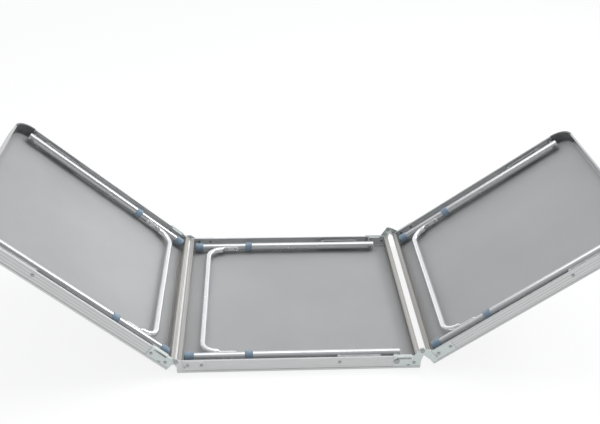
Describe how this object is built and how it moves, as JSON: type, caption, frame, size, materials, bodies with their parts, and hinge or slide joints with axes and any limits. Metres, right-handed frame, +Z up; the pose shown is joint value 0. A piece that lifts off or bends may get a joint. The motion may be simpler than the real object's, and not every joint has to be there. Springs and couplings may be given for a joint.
{
  "type": "folding table",
  "caption": "Tri-fold aluminium table lying face down and part open, with folded telescopic legs, folding struts, stepped hinges and grey tops.",
  "frame": {"origin": "centre of the middle panel's tabletop face, which lies on the floor", "axes": "+X along the table to the right wing, +Y to the back, +Z up, away from the tabletop face"},
  "size_m": [1.5994, 0.6126, 0.4299],
  "materials": {
    "board": "satin",
    "rail_aluminium": "satin",
    "tube_aluminium": "brushed",
    "galvanised_steel": "satin",
    "strut_steel": "satin",
    "rivet_steel": "satin",
    "button_steel": "polished",
    "foot_plastic": "matte",
    "corner_plastic": "matte"
  },
  "bodies": {
    "centre_panel": {"centre_board": "board", "centre_front_rail": "rail_aluminium", "centre_back_rail": "rail_aluminium", "centre_rail_rivets": "rivet_steel", "centre_leg_pivot_pins": "rivet_steel", "centre_left_end_rail": "rail_aluminium", "centre_right_end_rail": "rail_aluminium", "left_hinge_centre_leaves": "galvanised_steel", "left_hinge_pins": "rivet_steel", "right_hinge_centre_leaves": "galvanised_steel", "right_hinge_pins": "rivet_steel"},
    "left_wing": {"left_board": "board", "left_front_rail": "rail_aluminium", "left_back_rail": "rail_aluminium", "left_rail_rivets": "rivet_steel", "left_leg_pivot_pins": "rivet_steel", "left_outer_end_rail": "rail_aluminium", "left_joint_end_rail": "rail_aluminium", "left_corners": "corner_plastic", "left_hinge_wing_leaves": "galvanised_steel"},
    "right_wing": {"right_board": "board", "right_front_rail": "rail_aluminium", "right_back_rail": "rail_aluminium", "right_rail_rivets": "rivet_steel", "right_leg_pivot_pins": "rivet_steel", "right_outer_end_rail": "rail_aluminium", "right_joint_end_rail": "rail_aluminium", "right_corners": "corner_plastic", "right_hinge_wing_leaves": "galvanised_steel"},
    "left_leg": {"left_leg_tubes": "tube_aluminium", "left_leg_collars": "foot_plastic"},
    "left_leg_extension": {"left_leg_extensions": "tube_aluminium", "left_leg_brace": "tube_aluminium", "left_brace_rivets": "rivet_steel", "left_leg_feet": "foot_plastic"},
    "left_rail_strut": {"left_rail_struts": "strut_steel"},
    "left_leg_strut": {"left_leg_struts": "strut_steel"},
    "left_front_button": {"left_front_button": "button_steel"},
    "left_back_button": {"left_back_button": "button_steel"},
    "centre_leg": {"centre_leg_tubes": "tube_aluminium", "centre_leg_collars": "foot_plastic"},
    "centre_leg_extension": {"centre_leg_extensions": "tube_aluminium", "centre_leg_brace": "tube_aluminium", "centre_brace_rivets": "rivet_steel", "centre_leg_feet": "foot_plastic"},
    "centre_rail_strut": {"centre_rail_struts": "strut_steel"},
    "centre_leg_strut": {"centre_leg_struts": "strut_steel"},
    "centre_front_button": {"centre_front_button": "button_steel"},
    "centre_back_button": {"centre_back_button": "button_steel"},
    "right_leg": {"right_leg_tubes": "tube_aluminium", "right_leg_collars": "foot_plastic"},
    "right_leg_extension": {"right_leg_extensions": "tube_aluminium", "right_leg_brace": "tube_aluminium", "right_brace_rivets": "rivet_steel", "right_leg_feet": "foot_plastic"},
    "right_rail_strut": {"right_rail_struts": "strut_steel"},
    "right_leg_strut": {"right_leg_struts": "strut_steel"},
    "right_front_button": {"right_front_button": "button_steel"},
    "right_back_button": {"right_back_button": "button_steel"}
  },
  "joints": [
    {"name": "left_wing_fold", "type": "hinge", "parent": "centre_panel", "child": "left_wing", "pos_m": [-0.3015, 0, 0.03625], "axis": [0, -1, 0], "range_deg": [-139, 41]},
    {"name": "right_wing_fold", "type": "hinge", "parent": "centre_panel", "child": "right_wing", "pos_m": [0.3015, 0, 0.0545], "axis": [0, 1, 0], "range_deg": [-144, 36]},
    {"name": "left_leg_fold", "type": "hinge", "parent": "left_wing", "child": "left_leg", "pos_m": [-0.7192, 0, 0.38113], "axis": [0, -1, 0], "range_deg": [0, 90]},
    {"name": "left_leg_extend", "type": "slide", "parent": "left_leg", "child": "left_leg_extension", "axis": [0.7547, 0, -0.6561], "range_m": [0, 0.0805]},
    {"name": "left_rail_strut_turn", "type": "hinge", "parent": "left_wing", "child": "left_rail_strut", "pos_m": [-0.61278, 0, 0.28862], "axis": [0, 1, 0], "range_deg": [0, 45.2]},
    {"name": "left_leg_strut_turn", "type": "hinge", "parent": "left_leg", "child": "left_leg_strut", "pos_m": [-0.61278, 0, 0.28862], "axis": [0, -1, 0], "range_deg": [0, 45.2]},
    {"name": "left_front_button_press", "type": "slide", "parent": "left_leg", "child": "left_front_button", "axis": [0, -1, 0], "range_m": [0, 0.003], "stiffness_N_per_m": 600, "springref_m": -0.001},
    {"name": "left_back_button_press", "type": "slide", "parent": "left_leg", "child": "left_back_button", "axis": [0, 1, 0], "range_m": [0, 0.003], "stiffness_N_per_m": 600, "springref_m": -0.001},
    {"name": "centre_leg_fold", "type": "hinge", "parent": "centre_panel", "child": "centre_leg", "pos_m": [0.24, 0, 0.0225], "axis": [0, 1, 0], "range_deg": [0, 90]},
    {"name": "centre_leg_extend", "type": "slide", "parent": "centre_leg", "child": "centre_leg_extension", "axis": [-1, 0, 0], "range_m": [0, 0.0805]},
    {"name": "centre_rail_strut_turn", "type": "hinge", "parent": "centre_panel", "child": "centre_rail_strut", "pos_m": [0.099, 0, 0.0225], "axis": [0, -1, 0], "range_deg": [0, 45.2]},
    {"name": "centre_leg_strut_turn", "type": "hinge", "parent": "centre_leg", "child": "centre_leg_strut", "pos_m": [0.099, 0, 0.0225], "axis": [0, 1, 0], "range_deg": [0, 45.2]},
    {"name": "centre_front_button_press", "type": "slide", "parent": "centre_leg", "child": "centre_front_button", "axis": [0, -1, 0], "range_m": [0, 0.003], "stiffness_N_per_m": 600, "springref_m": -0.001},
    {"name": "centre_back_button_press", "type": "slide", "parent": "centre_leg", "child": "centre_back_button", "axis": [0, 1, 0], "range_m": [0, 0.003], "stiffness_N_per_m": 600, "springref_m": -0.001},
    {"name": "right_leg_fold", "type": "hinge", "parent": "right_wing", "child": "right_leg", "pos_m": [0.75839, 0, 0.3469], "axis": [0, 1, 0], "range_deg": [0, 90]},
    {"name": "right_leg_extend", "type": "slide", "parent": "right_leg", "child": "right_leg_extension", "axis": [-0.809, 0, -0.5878], "range_m": [0, 0.0805]},
    {"name": "right_rail_strut_turn", "type": "hinge", "parent": "right_wing", "child": "right_rail_strut", "pos_m": [0.64432, 0, 0.26402], "axis": [0, -1, 0], "range_deg": [0, 45.2]},
    {"name": "right_leg_strut_turn", "type": "hinge", "parent": "right_leg", "child": "right_leg_strut", "pos_m": [0.64432, 0, 0.26402], "axis": [0, 1, 0], "range_deg": [0, 45.2]},
    {"name": "right_front_button_press", "type": "slide", "parent": "right_leg", "child": "right_front_button", "axis": [0, -1, 0], "range_m": [0, 0.003], "stiffness_N_per_m": 600, "springref_m": -0.001},
    {"name": "right_back_button_press", "type": "slide", "parent": "right_leg", "child": "right_back_button", "axis": [0, 1, 0], "range_m": [0, 0.003], "stiffness_N_per_m": 600, "springref_m": -0.001}
  ],
  "couplings": [
    {"joint": "left_leg_extend", "follows": "left_leg_fold", "m_per_rad": 0.05093},
    {"joint": "left_rail_strut_turn", "follows": "left_leg_fold", "ratio": 0.5},
    {"joint": "left_leg_strut_turn", "follows": "left_leg_fold", "ratio": 0.5},
    {"joint": "centre_leg_extend", "follows": "centre_leg_fold", "m_per_rad": 0.05093},
    {"joint": "centre_rail_strut_turn", "follows": "centre_leg_fold", "ratio": 0.5},
    {"joint": "centre_leg_strut_turn", "follows": "centre_leg_fold", "ratio": 0.5},
    {"joint": "right_leg_extend", "follows": "right_leg_fold", "m_per_rad": 0.05093},
    {"joint": "right_rail_strut_turn", "follows": "right_leg_fold", "ratio": 0.5},
    {"joint": "right_leg_strut_turn", "follows": "right_leg_fold", "ratio": 0.5}
  ]
}
